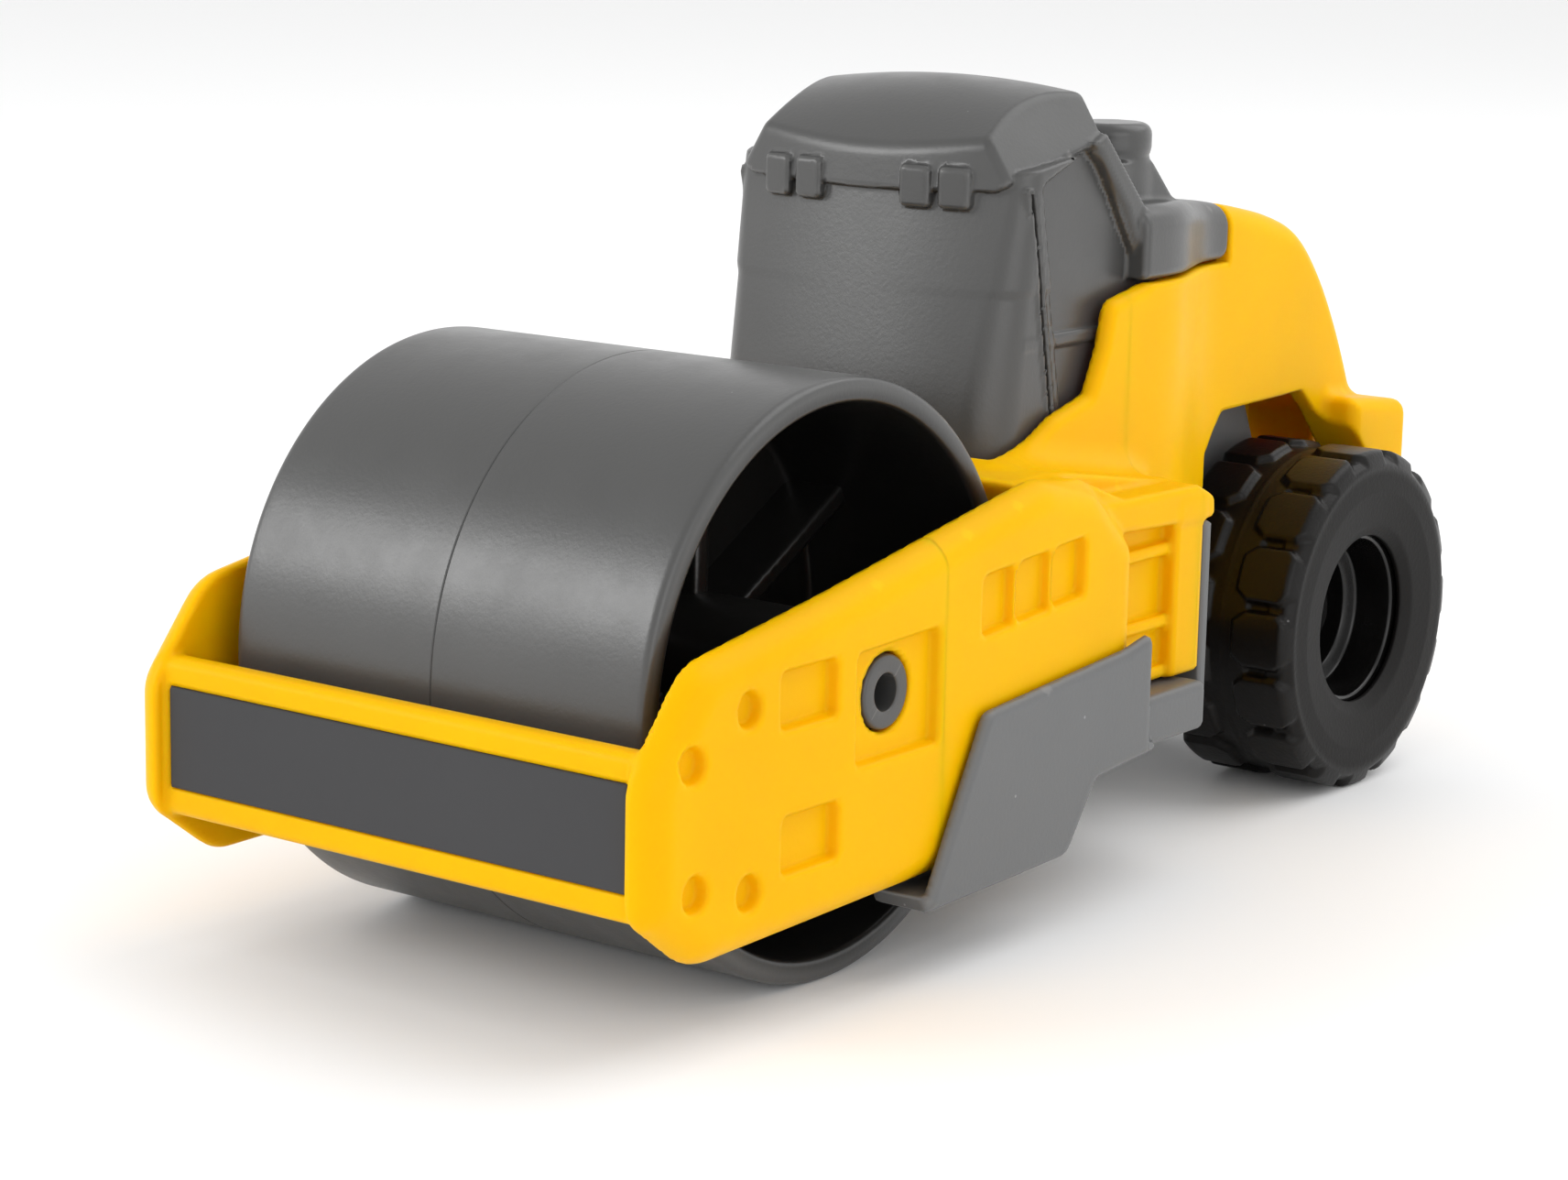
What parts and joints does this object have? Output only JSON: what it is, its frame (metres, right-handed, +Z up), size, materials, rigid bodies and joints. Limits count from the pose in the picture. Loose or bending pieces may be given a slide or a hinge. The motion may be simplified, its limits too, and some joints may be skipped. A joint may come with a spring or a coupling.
{
  "type": "toy road roller",
  "caption": "Free-wheeling toy road roller with a hollow front drum held in side plates, a cab, a sloping hood and two rear tyres on a steel axle.",
  "frame": {"origin": "centre of the bounding box at floor level, under the middle of the toy", "axes": "+Z up, -Y towards the drum (front), +X towards the toy's left side; the mid-plane is X = 0"},
  "size_m": [0.0524, 0.1244, 0.0642],
  "materials": {
    "yellow_plastic": "satin moulded plastic, slightly translucent, warm yellow",
    "dark_grey_plastic": "satin moulded plastic, dark warm grey",
    "light_grey_plastic": "satin moulded plastic, mid grey",
    "label_film": "printed film, flat dark grey, blank",
    "tyre_vinyl": "soft vinyl, glossy tread blocks and matte sidewalls",
    "rim_plastic": "glossy black",
    "axle_steel": "bright drawn wire",
    "screw_steel": "zinc-plated self-tapping screws"
  },
  "bodies": {
    "hull": {"body_shell": "yellow_plastic", "cab_moulding": "dark_grey_plastic", "chassis": "light_grey_plastic", "front_label": "label_film", "chassis_screw_1": "screw_steel", "chassis_screw_2": "screw_steel", "chassis_screw_3": "screw_steel", "chassis_screw_4": "screw_steel", "cab_screw_1": "screw_steel", "cab_screw_2": "screw_steel"},
    "drum": {"drum_half_left": "dark_grey_plastic", "drum_half_right": "dark_grey_plastic"},
    "rear_wheels": {"rear_axle": "axle_steel", "rim_left": "rim_plastic", "rim_right": "rim_plastic", "tyre_left": "tyre_vinyl", "tyre_right": "tyre_vinyl"}
  },
  "joints": [
    {"name": "drum_spin", "type": "hinge", "parent": "hull", "child": "drum", "pos_m": [0, -0.03425, 0.0225], "axis": [1, 0, 0], "continuous": true},
    {"name": "rear_axle_spin", "type": "hinge", "parent": "hull", "child": "rear_wheels", "pos_m": [0, 0.04375, 0.0153], "axis": [1, 0, 0], "continuous": true}
  ]
}
